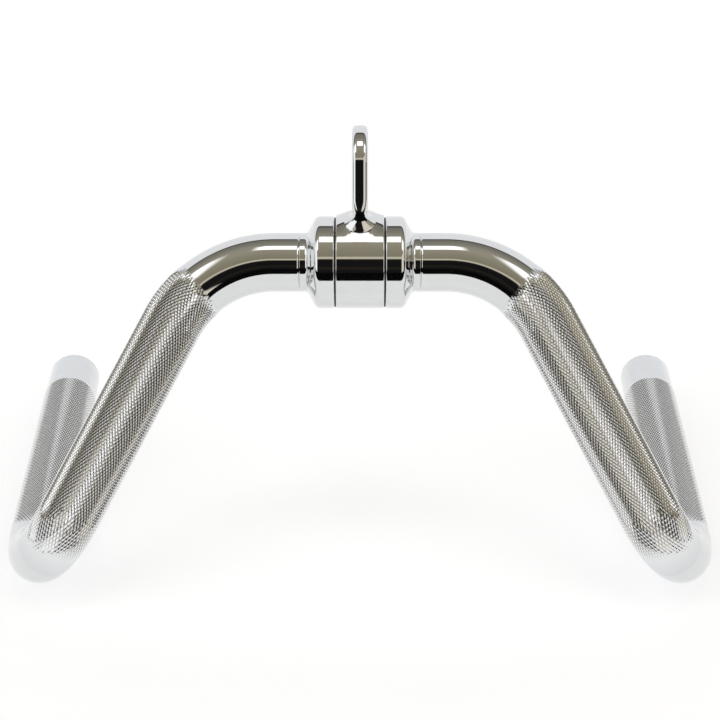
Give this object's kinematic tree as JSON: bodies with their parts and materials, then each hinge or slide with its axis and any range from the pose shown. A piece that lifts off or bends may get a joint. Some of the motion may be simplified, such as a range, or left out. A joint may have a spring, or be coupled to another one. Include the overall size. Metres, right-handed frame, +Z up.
{
  "type": "multi-grip row bar",
  "caption": "Bent chrome row bar with knurled diagonal grips and rear handles, and a central sleeve with an upright lifting eye that revolves on ball bearings.",
  "frame": {"origin": "on the floor, under the middle of the object's outer box", "axes": "+X along the bar axis to the user's right, +Y back along the handles, +Z up"},
  "size_m": [0.4096, 0.2482, 0.2398],
  "materials": {
    "knurled_chrome": "chrome plate over bright steel tube, diamond knurled on the grips",
    "polished_chrome": "mirror-polished chrome plate",
    "bearing_steel": "ground bearing steel",
    "cage_steel": "pressed steel",
    "plain_steel": "turned steel",
    "black_steel": "black oxide",
    "seal_rubber": "black nitrile"
  },
  "bodies": {
    "bar": {"left_arm": "knurled_chrome", "right_arm": "knurled_chrome", "left_end_plug": "polished_chrome", "right_end_plug": "polished_chrome", "spindle": "plain_steel", "left_collar": "polished_chrome", "right_collar": "polished_chrome", "left_grub_screw": "black_steel", "right_grub_screw": "black_steel", "left_dust_seal": "seal_rubber", "right_dust_seal": "seal_rubber", "left_inner_race": "bearing_steel", "right_inner_race": "bearing_steel", "bearing_spacer": "plain_steel"},
    "swivel": {"swivel_sleeve": "polished_chrome", "lifting_eye": "polished_chrome", "left_outer_race": "bearing_steel", "right_outer_race": "bearing_steel", "left_bearing_shields": "bearing_steel", "right_bearing_shields": "bearing_steel"},
    "left_cage_set": {"left_bearing_balls": "bearing_steel", "left_ball_cage": "cage_steel"},
    "right_cage_set": {"right_bearing_balls": "bearing_steel", "right_ball_cage": "cage_steel"}
  },
  "joints": [
    {"name": "swivel_spin", "type": "hinge", "parent": "bar", "child": "swivel", "pos_m": [0, -0.03205, 0.1691], "axis": [1, 0, 0], "continuous": true},
    {"name": "left_cage_spin", "type": "hinge", "parent": "bar", "child": "left_cage_set", "pos_m": [0, -0.03205, 0.1691], "axis": [1, 0, 0], "continuous": true},
    {"name": "right_cage_spin", "type": "hinge", "parent": "bar", "child": "right_cage_set", "pos_m": [0, -0.03205, 0.1691], "axis": [1, 0, 0], "continuous": true}
  ],
  "couplings": [
    {"joint": "left_cage_spin", "follows": "swivel_spin", "ratio": 0.59649},
    {"joint": "right_cage_spin", "follows": "swivel_spin", "ratio": 0.59649}
  ]
}
